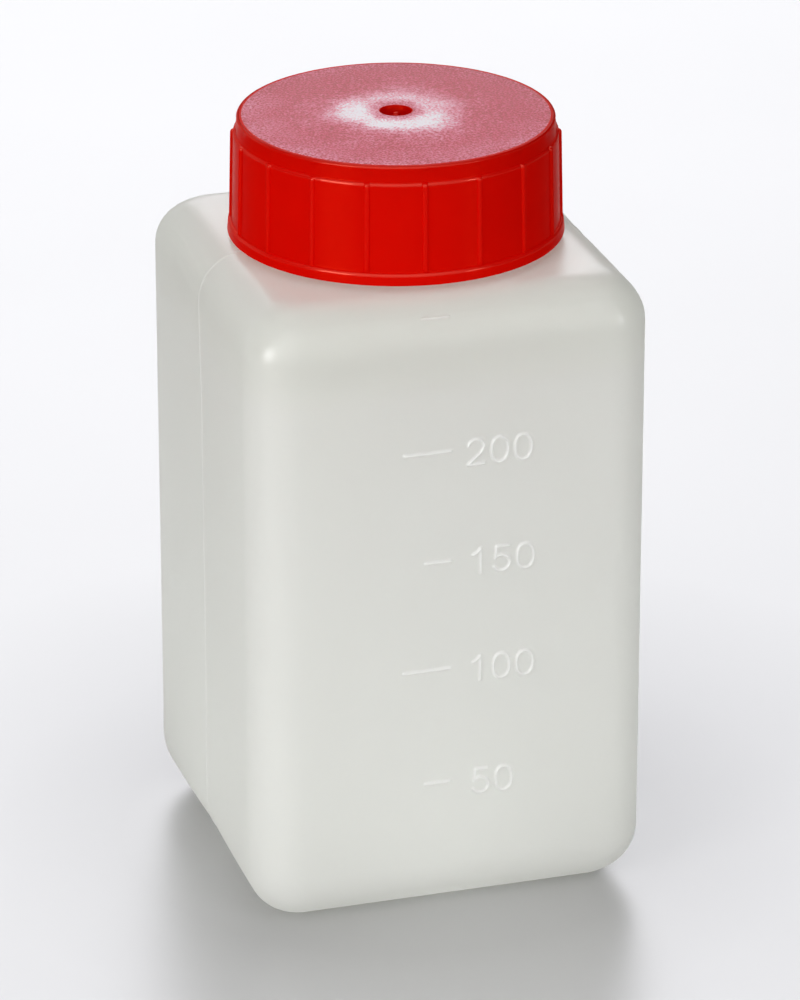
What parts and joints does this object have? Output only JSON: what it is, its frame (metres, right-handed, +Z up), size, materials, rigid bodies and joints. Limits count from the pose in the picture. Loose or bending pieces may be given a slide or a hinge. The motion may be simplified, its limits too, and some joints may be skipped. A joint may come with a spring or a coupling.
{
  "type": "square screw-cap bottle",
  "caption": "Square wide-neck translucent plastic bottle with moulded volume marks on one face and a ribbed red screw cap that unscrews from its threaded neck.",
  "frame": {"origin": "centre of the base, on the surface the bottle stands on", "axes": "+Z up along the neck, -Y out of the graduated face, X across it"},
  "size_m": [0.057, 0.0573, 0.1096],
  "materials": {
    "bottle": "natural translucent polyethylene, satin with a faint orange peel",
    "seal": "white foamed polyethylene",
    "cap": "glossy red moulded plastic, fine matt grain on the top"
  },
  "bodies": {
    "bottle": {"bottle": "bottle"},
    "seal": {"seal_disc": "seal"},
    "cap": {"screw_cap": "cap"}
  },
  "joints": [
    {"name": "cap_rise", "type": "slide", "parent": "bottle", "child": "seal", "axis": [0, 0, 1], "range_m": [0, 0.02]},
    {"name": "cap_turn", "type": "hinge", "parent": "seal", "child": "cap", "pos_m": [0, 0, 0.1], "axis": [0, 0, 1], "range_deg": [0, 1800]}
  ],
  "couplings": [
    {"joint": "cap_rise", "follows": "cap_turn", "m_per_rad": 0.00063662}
  ]
}
